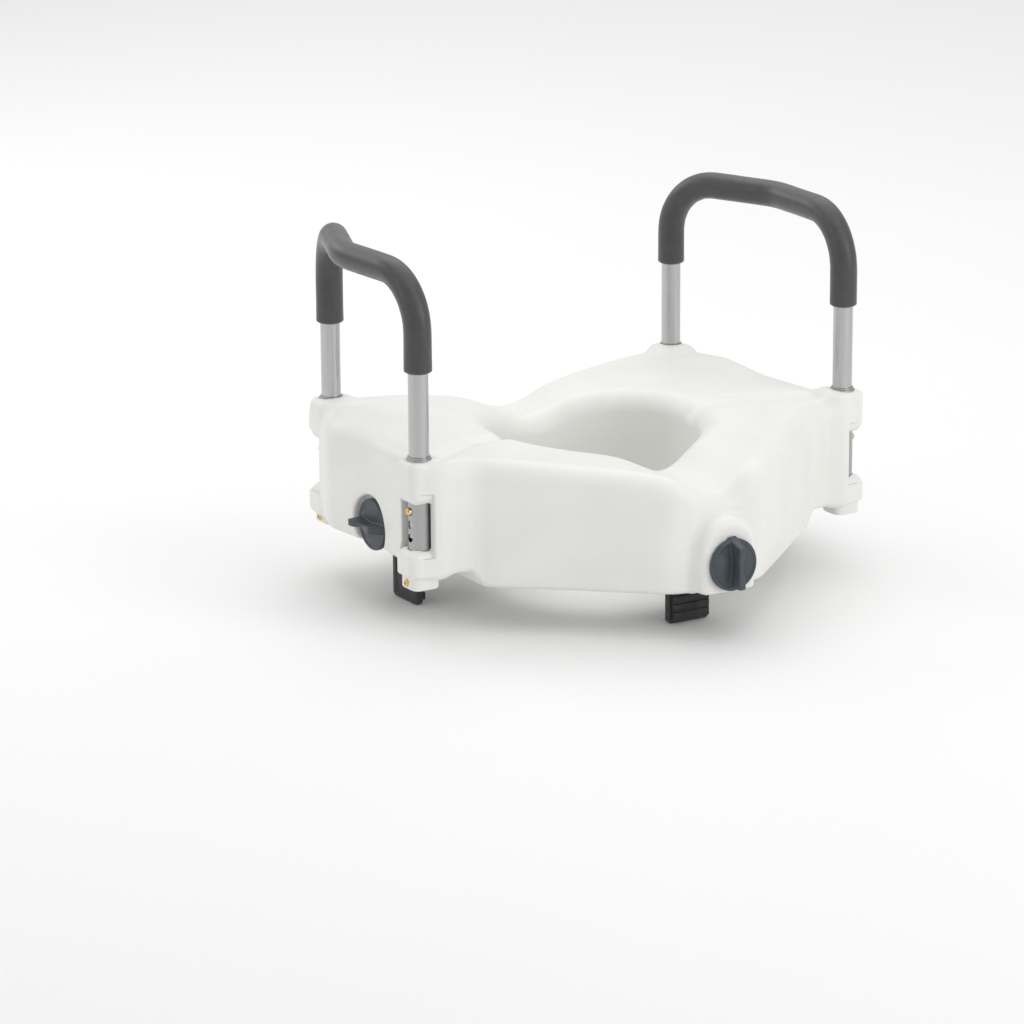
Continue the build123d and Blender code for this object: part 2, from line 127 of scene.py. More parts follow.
def rounded_line(corners, chord=4.0):
    """The line through corners of (x, y, radius), each turned as an arc of short chords."""
    line = [np.array(corners[0][:2], float)]
    for before, (x, y, radius), after in zip(corners, corners[1:], corners[2:]):
        here = np.array((x, y), float)
        back = np.array(before[:2]) - here
        ahead = np.array(after[:2]) - here
        back /= np.linalg.norm(back)
        ahead /= np.linalg.norm(ahead)
        half = math.acos(np.clip(back @ ahead, -1, 1)) / 2
        middle = here + (back + ahead) / np.linalg.norm(back + ahead) * radius / math.sin(half)
        first = here + back * radius / math.tan(half) - middle
        last = here + ahead * radius / math.tan(half) - middle
        start = math.atan2(first[1], first[0])
        turn = (math.atan2(last[1], last[0]) - start + math.pi) % (2 * math.pi) - math.pi
        count = max(2, round(abs(turn) * radius / chord))
        for step in range(count + 1):
            angle = start + turn * step / count
            line.append(middle + radius * np.array((math.cos(angle), math.sin(angle))))
    line.append(np.array(corners[-1][:2], float))
    return line


def line_distance(x, y, line):
    """Distance from points to a line of straight pieces."""
    best = np.full(np.broadcast(x, y).shape, np.inf)
    for (ax, ay), (bx, by) in zip(line, line[1:]):
        dx, dy = bx - ax, by - ay
        t = np.clip(((x - ax) * dx + (y - ay) * dy) / (dx * dx + dy * dy), 0, 1)
        best = np.minimum(best, (x - ax - t * dx) ** 2 + (y - ay - t * dy) ** 2)
    return np.sqrt(best)


def spans(*parts):
    """Grid lines through spans of (start, end, spacing)."""
    lines = [np.linspace(a, b, round((b - a) / gap), endpoint=False) for a, b, gap in parts]
    return np.concatenate(lines + [[parts[-1][1]]])


def slopes(field, points, step=0.05):
    """Gradient of a field at points."""
    found = np.empty_like(points)
    for axis in range(3):
        move = np.zeros(3)
        move[axis] = step
        found[:, axis] = (field(*(points + move).T) - field(*(points - move).T)) / (2 * step)
    return found


def net(field, xs, ys, zs, mirrored=False):
    """The surface where a field is zero: points, outward normals and four-sided faces.

    One point stands in each grid cell that the surface crosses, and is then drawn on to it.
    A mirrored field is the same at -x as at x, and xs then runs up from 0."""
    values = field(xs[:, None, None], ys[None, :, None], zs[None, None, :])
    if mirrored:
        values = np.concatenate([values[:0:-1], values])
        xs = np.concatenate([-xs[:0:-1], xs])
    inside = values < 0
    cell_shape = tuple(n - 1 for n in values.shape)
    corners = [(i, j, k) for i in (0, 1) for j in (0, 1) for k in (0, 1)]
    filled = np.zeros(cell_shape, np.int8)
    for i, j, k in corners:
        filled += inside[i:i + cell_shape[0], j:j + cell_shape[1], k:k + cell_shape[2]]
    cells = np.argwhere((filled > 0) & (filled < 8))
    number = np.full(cell_shape, -1, np.int64)
    number[tuple(cells.T)] = np.arange(len(cells))

    total = np.zeros((len(cells), 3))
    hits = np.zeros(len(cells))
    at = {corner: values[tuple((cells + corner).T)] for corner in corners}
    for low in corners:
        for axis in range(3):
            if low[axis]:
                continue
            high = tuple(1 if a == axis else v for a, v in enumerate(low))
            crossed = (at[low] < 0) != (at[high] < 0)
            start, end = at[low][crossed], at[high][crossed]
            spot = cells[crossed] + np.array(low, float)
            spot[:, axis] += start / (start - end)
            total[crossed] += spot
            hits[crossed] += 1
    spots = total / hits[:, None]
    lines = (xs, ys, zs)
    points = np.stack([np.interp(spots[:, a], np.arange(len(g)), g) for a, g in enumerate(lines)], 1)

    faces = []
    for axis in range(3):
        b, c = (axis + 1) % 3, (axis + 2) % 3
        near = [slice(1, -1)] * 3
        far = [slice(1, -1)] * 3
        near[axis], far[axis] = slice(0, -1), slice(1, None)
        here, there = inside[tuple(near)], inside[tuple(far)]
        edges = np.argwhere(here != there)
        outward = here[tuple(edges.T)]
        edges[:, b] += 1
        edges[:, c] += 1
        ring = []
        for db, dc in ((-1, -1), (0, -1), (0, 0), (-1, 0)):
            cell = edges.copy()
            cell[:, b] += db
            cell[:, c] += dc
            ring.append(number[tuple(cell.T)])
        quads = np.stack(ring, 1)
        quads[~outward] = quads[~outward][:, ::-1]
        faces.append(quads)

    for _ in range(2):
        slope = slopes(field, points)
        size = np.maximum((slope ** 2).sum(1), 0.05)
        move = (field(*points.T) / size)[:, None] * slope
        points -= np.clip(move, -0.8, 0.8)
    slope = slopes(field, points)
    normals = slope / np.maximum(np.linalg.norm(slope, axis=1), 1e-6)[:, None]
    return points, normals, np.concatenate(faces).tolist()


def piece(name, points, faces, body, slot, normals=None, smooth=True):
    """A mesh object from points in millimetres and lists of corners, riding on a body.

    Its slot is also the name of its material."""
    mesh = bpy.data.meshes.new(name)
    mesh.from_pydata((points * MM).tolist(), [], faces)
    mesh.validate()
    for polygon in mesh.polygons:
        polygon.use_smooth = smooth
    if normals is not None:
        mesh.normals_split_custom_set_from_vertices(normals.tolist())
    mesh.materials.append(MATERIALS[slot])
    made = bpy.data.objects.new(name, mesh)
    bpy.context.scene.collection.objects.link(made)
    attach(made, body)
    return made


# ---- materials ----
class Shader:
    """A node material that is built up step by step."""

    def __init__(self, name, colour, roughness, metallic=0.0):
        self.material = bpy.data.materials.new(name)
        self.material.use_nodes = True
        self.tree = self.material.node_tree
        self.surface = self.tree.nodes["Principled BSDF"]
        self.surface.inputs["Base Color"].default_value = (*colour, 1)
        self.surface.inputs["Roughness"].default_value = roughness
        self.surface.inputs["Metallic"].default_value = metallic
        self.place = self.tree.nodes.new("ShaderNodeTexCoord").outputs["Object"]
        self.height = None

    def set(self, **values):
        for key, value in values.items():
            self.surface.inputs[key.replace("_", " ")].default_value = value
        return self

    def stretched(self, scale):
        mapping = self.tree.nodes.new("ShaderNodeMapping")
        mapping.inputs["Scale"].default_value = scale
        self.tree.links.new(self.place, mapping.inputs["Vector"])
        return mapping.outputs["Vector"]

    def noise(self, scale, detail=3.0, stretch=(1, 1, 1), distortion=0.0):
        texture = self.tree.nodes.new("ShaderNodeTexNoise")
        texture.inputs["Scale"].default_value = scale
        texture.inputs["Detail"].default_value = detail
        texture.inputs["Distortion"].default_value = distortion
        self.tree.links.new(self.stretched(stretch), texture.inputs["Vector"])
        return texture.outputs["Fac"]

    def cells(self, scale):
        texture = self.tree.nodes.new("ShaderNodeTexVoronoi")
        texture.inputs["Scale"].default_value = scale
        self.tree.links.new(self.stretched((1, 1, 1)), texture.inputs["Vector"])
        return texture.outputs["Distance"]

    def ramp(self, value, stops):
        """value turned into colours by (place, colour) stops."""
        node = self.tree.nodes.new("ShaderNodeValToRGB")
        elements = node.color_ramp.elements
        while len(elements) < len(stops):
            elements.new(1.0)
        for element, (place, colour) in zip(elements, stops):
            element.position = place
            element.color = (*colour, 1)
        self.tree.links.new(value, node.inputs["Fac"])
        return node.outputs["Color"]

    def vary_colour(self, value, stops):
        self.tree.links.new(self.ramp(value, stops), self.surface.inputs["Base Color"])
        return self

    def vary_roughness(self, value, low, high):
        node = self.tree.nodes.new("ShaderNodeMapRange")
        node.inputs["From Min"].default_value = 0.3
        node.inputs["From Max"].default_value = 0.7
        node.inputs["To Min"].default_value = low
        node.inputs["To Max"].default_value = high
        self.tree.links.new(value, node.inputs["Value"])
        self.tree.links.new(node.outputs["Result"], self.surface.inputs["Roughness"])
        return self

    def bump(self, value, depth, strength=1.0):
        """Relief of so many metres, added to the relief so far."""
        node = self.tree.nodes.new("ShaderNodeBump")
        node.inputs["Distance"].default_value = depth
        node.inputs["Strength"].default_value = strength
        self.tree.links.new(value, node.inputs["Height"])
        if self.height is not None:
            self.tree.links.new(self.height, node.inputs["Normal"])
        self.height = node.outputs["Normal"]
        self.tree.links.new(self.height, self.surface.inputs["Normal"])
        return self


def seat_plastic():
    """Warm white blow-moulded polyethylene: slow waves in the skin, a fine grain and faint mottling."""
    look = Shader("seat_plastic", (0.83, 0.83, 0.8), 0.42)
    look.set(Subsurface_Weight=0.12, Subsurface_Scale=0.004, Specular_IOR_Level=0.42)
    look.vary_colour(look.noise(16, 4), [(0.3, (0.81, 0.808, 0.775)), (0.7, (0.85, 0.852, 0.825))])
    look.vary_roughness(look.noise(60, 5), 0.36, 0.5)
    look.bump(look.noise(22, 2), 0.0006, 0.5)
    look.bump(look.noise(900, 3), 0.00006, 0.5)
    return look.material


def aluminium(name, tone, roughness):
    """Satin anodised tube, drawn lengthways: fine streaks along Z and slow changes of gloss."""
    look = Shader(name, (tone, tone, tone * 1.01), roughness, 1.0)
    light, dark = tone * 1.03, tone * 0.97
    look.vary_colour(look.noise(500, 4, (1, 1, 0.02)),
                     [(0.3, (dark, dark, dark * 1.01)), (0.7, (light, light, light * 1.01))])
    look.vary_roughness(look.noise(900, 3, (1, 1, 0.015)), roughness - 0.03, roughness + 0.04)
    look.bump(look.noise(1400, 3, (1, 1, 0.01)), 0.00001, 0.4)
    return look.material


def foam():
    """Closed-cell foam: a soft skin with fine pores, faint scuffs and a low sheen."""
    look = Shader("grip_foam", (0.05, 0.052, 0.052), 0.42)
    look.set(Sheen_Weight=0.15, Sheen_Roughness=0.45, Specular_IOR_Level=0.5)
    look.vary_colour(look.noise(140, 5), [(0.3, (0.05, 0.051, 0.05)), (0.75, (0.062, 0.063, 0.062))])
    look.vary_roughness(look.noise(45, 5), 0.36, 0.46)
    look.bump(look.cells(1500), 0.00006, 0.4)
    look.bump(look.noise(260, 4), 0.0001, 0.35)
    return look.material


def gold():
    """Yellow zinc plate, slightly clouded."""
    look = Shader("gold_zinc", (0.75, 0.5, 0.2), 0.24, 1.0)
    look.vary_colour(look.noise(300, 3), [(0.35, (0.66, 0.4, 0.13)), (0.65, (0.86, 0.62, 0.3))])
    look.vary_roughness(look.noise(700, 3), 0.18, 0.34)
    look.bump(look.noise(1500, 2), 0.00002, 0.4)
    return look.material


def dark_plastic(name, tone, roughness):
    """Moulded plastic with a fine spark-eroded grain."""
    look = Shader(name, tone, roughness)
    low = tuple(0.86 * v for v in tone)
    high = tuple(1.16 * v for v in tone)
    look.set(Specular_IOR_Level=0.5)
    look.vary_colour(look.noise(70, 5), [(0.3, low), (0.7, high)])
    look.vary_roughness(look.noise(120, 4), roughness - 0.06, roughness + 0.08)
    look.bump(look.noise(1600, 3), 0.00005, 0.6)
    return look.material


def rubber():
    look = Shader("pad_rubber", (0.03, 0.03, 0.031), 0.75)
    look.vary_colour(look.noise(90, 5), [(0.3, (0.024, 0.024, 0.025)), (0.7, (0.042, 0.042, 0.043))])
    look.bump(look.cells(900), 0.00012, 0.5)
    return look.material


def steel(name, tone, roughness):
    """Bright zinc plate or spring strip: fine random scratches."""
    look = Shader(name, (tone, tone, tone * 1.02), roughness, 1.0)
    look.vary_roughness(look.noise(800, 5, (1, 1, 0.3)), roughness - 0.08, roughness + 0.12)
    look.bump(look.noise(1200, 4), 0.00003, 0.4)
    return look.material


def nylon():
    look = Shader("bush_plastic", (0.72, 0.72, 0.68), 0.5)
    look.vary_colour(look.noise(120, 3), [(0.3, (0.68, 0.68, 0.63)), (0.7, (0.75, 0.75, 0.71))])
    look.bump(look.noise(900, 2), 0.00004, 0.4)
    return look.material


MATERIALS = {
    "seat_plastic": seat_plastic(),
    "sleeve_metal": aluminium("sleeve_metal", 0.42, 0.32),
    "arm_metal": aluminium("arm_metal", 0.5, 0.26),
    "grip_foam": foam(),
    "gold_zinc": gold(),
    "spring_steel": steel("spring_steel", 0.5, 0.32),
    "knob_plastic": dark_plastic("knob_plastic", (0.05, 0.063, 0.072), 0.42),
    "clamp_plastic": dark_plastic("clamp_plastic", (0.042, 0.042, 0.044), 0.5),
    "pad_rubber": rubber(),
    "bush_plastic": nylon(),
    "zinc_steel": steel("zinc_steel", 0.6, 0.28),
}
for part in frame["record"]["subparts"]:
    held = nodes[part["node"]].data.materials
    held.clear()
    held.append(MATERIALS[part["material_slot"]])


# ---- the moulded seat ----
# Right half of the outline in plan, from the back round to the front: x, y, corner radius.
OUTLINE = [
    (0, 136, 0), (207, 136, 12), (236, 62, 45), (229, -15, 140), (238, -100, 30),
    (236, -137, 10), (190, -141, 34), (47, -266, 46), (0, -266, 0),
]
# The dip from front to back: x, depth below the sockets' tops.
BACK_DIP = [(0, 35), (20, 31.5), (40, 23), (60, 16.5), (80, 12.5), (110, 7.5), (150, 1), (270, -14)]
FRONT_DIP = [(0, 37), (16, 33), (30, 23), (44, 16), (62, 12.5), (92, 10.5), (150, 8.5), (270, 6)]
DIP_BACK_Y, DIP_FRONT_Y = 160.0, -300.0
DIP_BLUR = 6.0
FLAT = DECK - 1.5        # the seat's top between the sockets
TOP_EDGE = 19.0
CREASE = [(214, -112), (150, -70), (104, -58)]
CREASE_DEEP = 4.5
CREASE_WIDE = 9.0
RIM_X = 180.0            # the part that rests on the bowl
RIM_BACK = 104.0
FLANK = 16.0
OPENING_Y = -44.0
OPENING_LOW = (92.0, 98.0)
OPENING_TOP = (103.0, 108.0)
OPENING_EDGE = 15.0
HOUSING = 17.0           # half the width of a corner housing
HOUSING_R = 9.0
HOUSING_BLEND = 15.0
WINDOW_LOW, WINDOW_HIGH = 43.0, 86.0
WINDOW_IN = 4.8          # a window's inner edge, from the post's axis
WINDOW_BACK = 15.9       # its far wall
WINDOW_LIP = 11.0
WINDOW_SILL = 2.0        # rounding inside the window's sill and roof
WINDOW_EDGE = 1.6        # and of its edges
SLEEVE_R = 10.8
RECESS_R = 29.0
BOSS_R = 29.5            # the boss is an arch, round above BOSS_Z
BOSS_Z = 43.0
BOSS_EDGE = 8.0
BUSH_R = 8.0
POCKET = 27.0            # half the width of a clamp's pocket
POCKET_ROOF = 20.0
SCREW_WALL = 6.0
CAP = 14.6               # half the width of the room for a foot cap
RIM_PADS = [(118, -112), (122, 62)]

outline = rounded_line(OUTLINE)


def blurred(points):
    """A table of a curve through points, even about 0 and smoothed."""
    xs = np.arange(-300.0, 301.0)
    raw = np.interp(np.abs(xs), *zip(*points))
    reach = np.arange(-20, 21)
    weight = np.exp(-0.5 * (reach / DIP_BLUR) ** 2)
    padded = np.pad(raw, 20, mode="edge")
    return xs, np.convolve(padded, weight / weight.sum(), "valid")


back_dip = blurred(BACK_DIP)
front_dip = blurred(FRONT_DIP)


def plan(x, y):
    """Distance to the outline in plan, for x of 0 and more, negative inside."""
    inside = np.zeros(np.broadcast(x, y).shape, bool)
    for (ax, ay), (bx, by) in zip(outline, outline[1:]):
        if ay != by:
            inside ^= ((ay > y) != (by > y)) & (x < (bx - ax) * (y - ay) / (by - ay) + ax)
    away = line_distance(x, y, outline)
    return np.where(inside, -away, away)


def top(x, y):
    """Height of the seat's top, before its edges are rounded."""
    share = np.clip((y - DIP_FRONT_Y) / (DIP_BACK_Y - DIP_FRONT_Y), 0, 1)
    depth = share * np.interp(x, *back_dip) + (1 - share) * np.interp(x, *front_dip)
    blend = np.maximum(8 - np.abs(DECK - depth - FLAT), 0) / 8
    height = np.minimum(DECK - depth, FLAT) - 2 * blend ** 2
    crease = np.exp(-(line_distance(x, y, CREASE) / CREASE_WIDE) ** 2)
    return height - CREASE_DEEP * crease * ease(x, 232, 205)


def lid(x, y, z):
    step = 1.0
    along = (top(x + step, y) - top(x - step, y)) / (2 * step)
    across = (top(x, y + step) - top(x, y - step)) / (2 * step)
    return (z - top(x, y)) / np.sqrt(1 + along ** 2 + across ** 2)


def underside(x, y):
    return FLANK * np.maximum(ease(x, RIM_X, RIM_X + FLANK), ease(y, RIM_BACK - 3, RIM_BACK + 3))


def housing(x, y, z, px, py):
    """A square corner housing, with a slightly swollen collar below its window."""
    swell = 1.2 * ease(z, WINDOW_LOW + 6, WINDOW_LOW - 6)
    side = rounded_square(x - px, y - py, HOUSING, HOUSING, HOUSING_R) - swell
    return cut_round(cut_round(side, z - DECK, 5.0), SEAM - z, 2.0)


def window(x, y, z, px, py):
    """The opening round a sleeve: out through the side and the front or back wall."""
    u = x - px
    v = (y - py) * (-1 if py < 0 else 1)
    near = np.clip(rounded_square(u, v, HOUSING, HOUSING, HOUSING_R) + WINDOW_LIP, 0, WINDOW_LIP)
    rise = WINDOW_LIP - np.sqrt(WINDOW_LIP ** 2 - near ** 2)
    room = np.maximum(-WINDOW_IN - u, -WINDOW_BACK - v)
    room = np.minimum(room, np.hypot(u, v) - SLEEVE_R - 1.6)
    tall = slab(z, WINDOW_LOW - 0.7 * rise, WINDOW_HIGH + rise)
    return cut_round(room, tall, WINDOW_SILL)


def boss(x, y, z):
    """The arched boss behind the front knob."""
    arch = np.where(z > BOSS_Z, np.hypot(x, z - BOSS_Z), x) - BOSS_R
    depth = slab(y, BOSS_FACE, -225)
    return cut_round(cut_round(arch, depth, BOSS_EDGE), 1.5 - z, 3.0)


def pads(x, y, z):
    away = [np.hypot(np.maximum(np.abs(x - px) - 11, 0), y - py) - 6.1 for px, py in RIM_PADS]
    return np.maximum(np.minimum(*away), z - 1.6)


def seat(x, y, z):
    x = np.abs(x)
    barrel = 1.8 * ((z - 72) / 60) ** 2
    body = cut_round(plan(x, y) + barrel, lid(x, y, z), TOP_EDGE)
    body = cut_round(body, underside(x, y) - z, 5.0)
    for px, py in POSTS:
        room = rounded_square(x - px, y - py, CAP, CAP, HOUSING_R)
        body = cut_round(body, -np.maximum(room, z - SEAM), 0.8)
        body = join_round(body, housing(x, y, z, px, py), HOUSING_BLEND)
        spigot = np.maximum(np.hypot(x - px, y - py) - 11.4, slab(z, SEAM - 10.4, SEAM + 3))
        body = np.minimum(body, spigot)
    body = join_round(body, boss(x, y, z), 7.0)

    share = np.clip(z / DECK, -0.05, 1.05)
    wide = OPENING_LOW[0] + share * (OPENING_TOP[0] - OPENING_LOW[0])
    long = OPENING_LOW[1] + share * (OPENING_TOP[1] - OPENING_LOW[1])
    funnel = (np.hypot(x / wide, (y - OPENING_Y) / long) - 1) * wide
    body = cut_round(body, -funnel, OPENING_EDGE * ease(z, 10, 50) + 3.0)

    for px, py in POSTS:
        body = cut_round(body, -window(x, y, z, px, py), WINDOW_EDGE)
        bore = np.maximum(np.hypot(x - px, y - py) - SLEEVE_R - 0.05, SEAM + 6.5 - z)
        body = np.maximum(body, -bore)
    knob_away = np.hypot(y - SIDE_KNOB[1], z - SIDE_KNOB[2])
    body = cut_round(body, -cut_round(knob_away - RECESS_R, BUSH_OUT - x, 2.0), 2.6)
    body = np.maximum(body, -np.maximum(knob_away - BUSH_R - 0.05, BUSH_OUT - 10 - x))
    front_away = np.hypot(x, z - FRONT_KNOB[2])
    body = np.maximum(body, -np.maximum(front_away - BUSH_R - 0.05, y - BOSS_FACE - 10))
    side_room = cut_round(slab(x, 154, BUSH_OUT - SCREW_WALL), z - SIDE_KNOB[2] - POCKET_ROOF, 3.0)
    side_room = cut_round(side_room, np.abs(y - SIDE_KNOB[1]) - POCKET, 3.0)
    front_room = cut_round(slab(y, BOSS_FACE + SCREW_WALL, -168),
                           z - FRONT_KNOB[2] - POCKET_ROOF, 3.0)
    front_room = cut_round(front_room, x - POCKET, 3.0)
    body = cut_round(body, -np.minimum(side_room, front_room), 1.2)
    return np.maximum(body, -pads(x, y, z))


def make_seat():
    fine = 1.3
    coarse = 2.8
    xs = spans((0, 172, coarse), (172, 262, fine))
    ys = spans((-288, -146, coarse), (-146, -95, fine), (-95, 95, coarse), (95, 142, fine))
    zs = spans((-3, 46, fine), (46, 80, coarse * 0.8), (80, 131, fine))
    points, normals, faces = net(seat, xs, ys, zs, mirrored=True)
    made = piece("seat_moulding", points, faces, "seat", "seat_plastic", normals)
    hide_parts("seat_shell")


make_seat()


# ---- knobs ----
KNOB_R = 25.0
KNOB_T = 6.0
KNOB_GAP = 0.5
RIM_WIDE = 3.6           # raised rim round the knob's face
RIM_HIGH = 0.5
FIN_END = 24.8           # foot of the fin's bevelled end
FIN_BACK = 21.5          # its upright end
FIN_TOP = 20.0


def knob(u, v, w):
    """A disc with a waisted fin: u along the fin, v across it, w outwards from the disc's back."""
    disc = cut_round(np.hypot(u, v) - KNOB_R, slab(w, 0, KNOB_T), 1.8)
    dish = np.maximum(np.hypot(u, v) - KNOB_R + RIM_WIDE, KNOB_T - RIM_HIGH - w)
    disc = cut_round(disc, -dish, 0.5)
    waist = np.exp(-(u / 11.0) ** 2)
    half = 4.4 - 2.0 * waist - 0.06 * (w - KNOB_T)
    crest = w - FIN_TOP + 3.0 * waist
    fin = cut_round(np.abs(v) - half, crest, 1.3)
    slope = (u - FIN_END) * 0.919 + (w - KNOB_T) * 0.394
    fin = cut_round(fin, slope, 1.6)
    fin = cut_round(fin, -FIN_BACK - u, 2.6)
    fin = np.maximum(fin, 1.0 - w)
    return join_round(disc, fin, 1.4)


def make_knobs():
    gap = 0.7
    across = spans((-28, 28, gap))
    outward = spans((-2, FIN_TOP + 2, gap))
    points, normals, faces = net(knob, across, across, outward)
    front_base = BOSS_FACE - KNOB_GAP
    side_base = BUSH_OUT + KNOB_GAP
    places = {
        "front": ((0, front_base, FRONT_KNOB[2]), (0, 0, 1), (0, -1, 0)),
        "left": ((-side_base, *SIDE_KNOB[1:]), (0, -1, 0), (-1, 0, 0)),
        "right": ((side_base, *SIDE_KNOB[1:]), (0, -1, 0), (1, 0, 0)),
    }
    for name, (base, fin, out) in places.items():
        turn = np.array([fin, np.cross(out, fin), out], float)
        made = piece(f"finned_knob_{name}", points @ turn + base, faces, f"screw_{name}",
                     "knob_plastic", normals @ turn)
        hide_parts(f"knob_{name}")


make_knobs()


# ---- threaded rods ----
PITCH = 1.25
ROD_R = 4.0
THREAD_DEEP = 0.75
ROD_AROUND = 24          # mesh points round the rod
ROD_ROWS = 7             # and along it, in each turn of the thread


def make_rods():
    """Each rod is a stack of rings whose radius follows the thread's ridge round and along."""
    for name in ("left", "right", "front"):
        low, high = limits(f"threaded_rod_{name}")
        axis = int(np.argmax(high - low))
        hand = 1 if name == "front" else -1
        middle = (low + high) / 2
        rows = round((high[axis] - low[axis]) / PITCH * ROD_ROWS)
        s = np.linspace(low[axis], high[axis], rows + 1)[:, None]
        angle = np.linspace(0, 2 * math.pi, ROD_AROUND, endpoint=False)[None, :]
        phase = (s / PITCH - hand * angle / (2 * math.pi)) % 1
        ridge = np.clip(np.abs(phase - 0.5) * 2.6 - 0.3, 0, 1)
        radius = ROD_R - THREAD_DEEP * ridge
        end = np.minimum(s - low[axis], high[axis] - s)
        radius = np.minimum(radius, ROD_R - 1.0 + end)
        b, c = (axis + 1) % 3, (axis + 2) % 3
        points = np.empty((rows + 1, ROD_AROUND, 3))
        points[..., axis] = s
        points[..., b] = middle[b] + radius * np.cos(angle)
        points[..., c] = middle[c] + radius * np.sin(angle)
        index = np.arange((rows + 1) * ROD_AROUND).reshape(rows + 1, ROD_AROUND)
        side = np.roll(index, -1, axis=1)
        faces = np.stack([index[:-1], side[:-1], side[1:], index[1:]], -1).reshape(-1, 4).tolist()
        faces += [index[0][::-1].tolist(), index[-1].tolist()]
        made = piece(f"m8_rod_{name}", points.reshape(-1, 3), faces, f"screw_{name}",
                     "zinc_steel", smooth=False)
        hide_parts(f"threaded_rod_{name}")


make_rods()


# ---- clamp brackets ----
PLATE_T = 7.0
HEAD_UP = 15.0
HEAD_DEEP = 12.0


def bracket(a, h, g, low):
    """The clamp's plate, head and nut housing: a across, h up from the screw, g the way it grips."""
    middle = (HEAD_UP + low) / 2
    plate = rounded_square(a, h - middle, 23, (HEAD_UP - low) / 2, 4.5)
    plate = cut_round(plate, slab(g, 0, PLATE_T), 1.3)
    panel = rounded_square(a, h - (low - HEAD_UP) / 2, 17, (-HEAD_UP - low) / 2 - 5, 3)
    ears = cut_round(rounded_square(a, h, 25, HEAD_UP, 2.5), slab(g, 0, PLATE_T), 1.3)
    head = cut_round(rounded_square(a, h, 14, 13, 3), slab(g, -HEAD_DEEP, 3), 1.2)
    web = np.maximum(np.abs(np.abs(a) - 12.5) - 1.4, np.maximum(slab(h, -28, 0), slab(g, -10.5, 1)))
    web = cut_round(web, (-g * 0.9 - h - 28) * 0.74, 0.8)
    body = join_round(join_round(plate, ears, 1.0), head, 2.5)
    body = join_round(body, web, 1.0)
    body = np.maximum(body, -np.maximum(panel, g - 0.8))
    body = cut_round(body, -(np.hypot(a, h) - ROD_R - 0.3), 0.5)
    hexagon = np.maximum(np.abs(h), np.abs(a) * 0.866 + np.abs(h) * 0.5) - 6.55
    return np.maximum(body, -np.maximum(hexagon, g + HEAD_DEEP - 6.6))


def make_brackets():
    gap = 0.9
    for name in ("left", "right", "front"):
        low, high = limits(f"clamp_bracket_{name}")
        screw = FRONT_KNOB if name == "front" else SIDE_KNOB
        drop = low[2] - screw[2]
        across = spans((-27, 27, gap))
        upward = spans((drop - 2, HEAD_UP + 2, gap))
        along = spans((-HEAD_DEEP - 2, PLATE_T + 2, gap))
        points, normals, faces = net(lambda a, h, g: bracket(a, h, g, drop), across, upward, along)
        if name == "front":
            base = (0, high[1] - HEAD_DEEP, screw[2])
            out = (0, -1, 0)
        elif name == "left":
            base = (low[0] + HEAD_DEEP, screw[1], screw[2])
            out = (1, 0, 0)
        else:
            base = (high[0] - HEAD_DEEP, screw[1], screw[2])
            out = (-1, 0, 0)
        turn = np.array([np.cross((0, 0, 1), out), (0, 0, 1), out], float)
        made = piece(f"clamp_plate_{name}", points @ turn + base, faces, f"clamp_{name}",
                     "clamp_plastic", normals @ turn)
        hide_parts(f"clamp_bracket_{name}")


make_brackets()


# ---- foam grips ----
GRIP_R = 13.4
# Heights of the foam's front and back ends above the sockets.
GRIP_LOW = {"left": (83.0, 76.5), "right": (84.5, 86.5)}
TUBE_R = 9.55
KINK = (245.5, 4.5)      # the bar's widest point in plan
BENDS = (52.0, 60.0, 52.0)
GRIP_AROUND = 56
GRIP_STEP = 1.6
END_ROUND = 2.6
BORE_ROWS = 8            # rows of mesh that go a little way into the foam's bore


def arm_line(side, front_low, back_low):
    """Closely spaced points along an arm's centre line, over the foam's length, and its bends."""
    (fx, fy), (bx, by) = POSTS
    z = BAR_Z - GRIP_R
    corners = [(bx, by, DECK + back_low), (bx, by, z), (*KINK, z), (fx, fy, z),
               (fx, fy, DECK + front_low)]
    corners = [np.array((side * x, y, h), float) for x, y, h in corners]
    line = [corners[0]]
    for before, here, after, radius in zip(corners, corners[1:], corners[2:], BENDS):
        back = (before - here) / np.linalg.norm(before - here)
        ahead = (after - here) / np.linalg.norm(after - here)
        half = math.acos(np.clip(back @ ahead, -1, 1)) / 2
        middle = here + (back + ahead) / np.linalg.norm(back + ahead) * radius / math.sin(half)
        first = here + back * radius / math.tan(half) - middle
        last = here + ahead * radius / math.tan(half) - middle
        turn = math.pi - 2 * half
        count = max(3, round(turn * radius / 1.5))
        for step in range(count + 1):
            t = step / count
            weight = (math.sin((1 - t) * turn) / math.sin(turn), math.sin(t * turn) / math.sin(turn))
            line.append(middle + weight[0] * first + weight[1] * last)
    line.append(corners[-1])
    line = np.array(line)
    lengths = np.concatenate([[0], np.cumsum(np.linalg.norm(np.diff(line, axis=0), axis=1))])
    marks = np.linspace(0, lengths[-1], round(lengths[-1] / GRIP_STEP) + 1)
    return np.stack([np.interp(marks, lengths, line[:, a]) for a in range(3)], 1), marks


